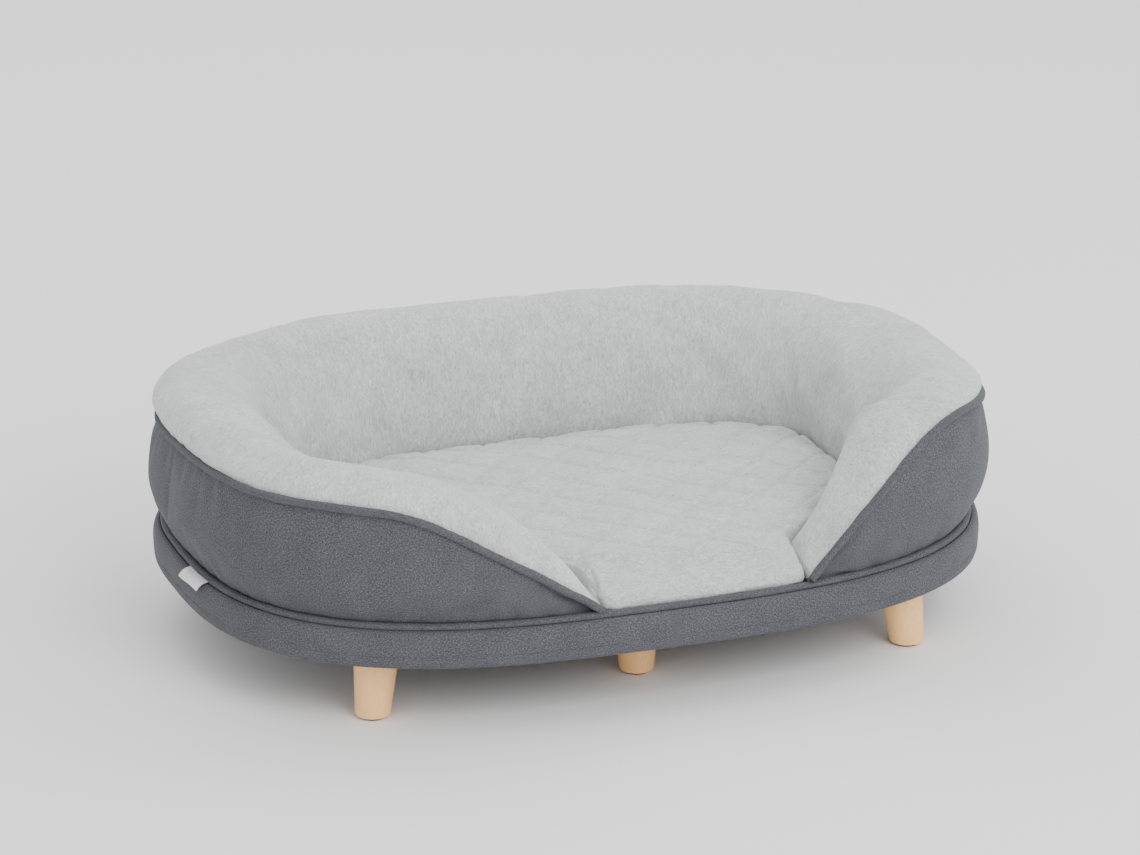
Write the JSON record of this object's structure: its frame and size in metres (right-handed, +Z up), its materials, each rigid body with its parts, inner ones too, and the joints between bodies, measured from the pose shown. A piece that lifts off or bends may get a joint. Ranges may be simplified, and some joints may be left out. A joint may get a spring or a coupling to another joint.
{
  "type": "dog bed with frame",
  "caption": "Oval upholstered dog bed on turned wooden legs: padded base frame, U-shaped bolster with a low front opening, and a lift-out quilted seat cushion.",
  "frame": {"origin": "on the floor, under the middle of the bed's outline", "axes": "+X to the right and -Y to the front as seen by someone facing the opening, +Z up"},
  "size_m": [1.0431, 0.7307, 0.3186],
  "materials": {
    "heather_cloth": "heathered woven cloth, matt",
    "plush": "short-pile plush",
    "plywood": "bare plywood",
    "rail_wood": "planed softwood",
    "leg_wood": "turned beech, clear satin lacquer",
    "zinc_steel": "zinc plated",
    "glide": "felt-faced plastic",
    "zip_metal": "enamelled",
    "zip_coil": "woven tape with a nylon coil",
    "foam": "open-cell foam",
    "fibre": "polyester fibre",
    "lining_cloth": "non-woven cloth",
    "tag_tape": "blank satin tape"
  },
  "bodies": {
    "bed": {"base_cover": "heather_cloth", "base_welt": "heather_cloth", "bolster_outer_cover": "heather_cloth", "bolster_welt": "heather_cloth", "bolster_plush_lining": "plush", "bottom_panel": "plywood", "deck_board": "plywood", "rim_front": "plywood", "rim_left": "plywood", "rim_back": "plywood", "rim_right": "plywood", "cross_rail_left": "rail_wood", "cross_rail_middle": "rail_wood", "cross_rail_right": "rail_wood", "leg_front_left": "leg_wood", "leg_front_middle": "leg_wood", "leg_front_right": "leg_wood", "leg_back_left": "leg_wood", "leg_back_middle": "leg_wood", "leg_back_right": "leg_wood", "hanger_bolt_front_left": "zinc_steel", "tee_nut_front_left": "zinc_steel", "hanger_bolt_front_middle": "zinc_steel", "tee_nut_front_middle": "zinc_steel", "hanger_bolt_front_right": "zinc_steel", "tee_nut_front_right": "zinc_steel", "hanger_bolt_back_left": "zinc_steel", "tee_nut_back_left": "zinc_steel", "hanger_bolt_back_middle": "zinc_steel", "tee_nut_back_middle": "zinc_steel", "hanger_bolt_back_right": "zinc_steel", "tee_nut_back_right": "zinc_steel", "glide_front_left": "glide", "glide_front_middle": "glide", "glide_front_right": "glide", "glide_back_left": "glide", "glide_back_middle": "glide", "glide_back_right": "glide", "edge_foam": "foam", "bolster_filling": "fibre", "deck_cloth": "lining_cloth", "dust_cloth": "lining_cloth", "bolster_base_cloth": "lining_cloth", "side_label": "tag_tape"},
    "cushion": {"cushion_foam": "foam", "cushion_top_cover": "plush", "cushion_base_cloth": "lining_cloth", "zip_chain": "zip_coil"},
    "zip_slider": {"zip_slider": "zip_metal", "zip_pull": "zip_metal"}
  },
  "joints": [
    {"name": "cushion_lift", "type": "slide", "parent": "bed", "child": "cushion", "axis": [0, 0, 1], "range_m": [0, 0.3]},
    {"name": "zip_slide", "type": "slide", "parent": "cushion", "child": "zip_slider", "axis": [1, 0, 0], "range_m": [0, 0.135]}
  ]
}
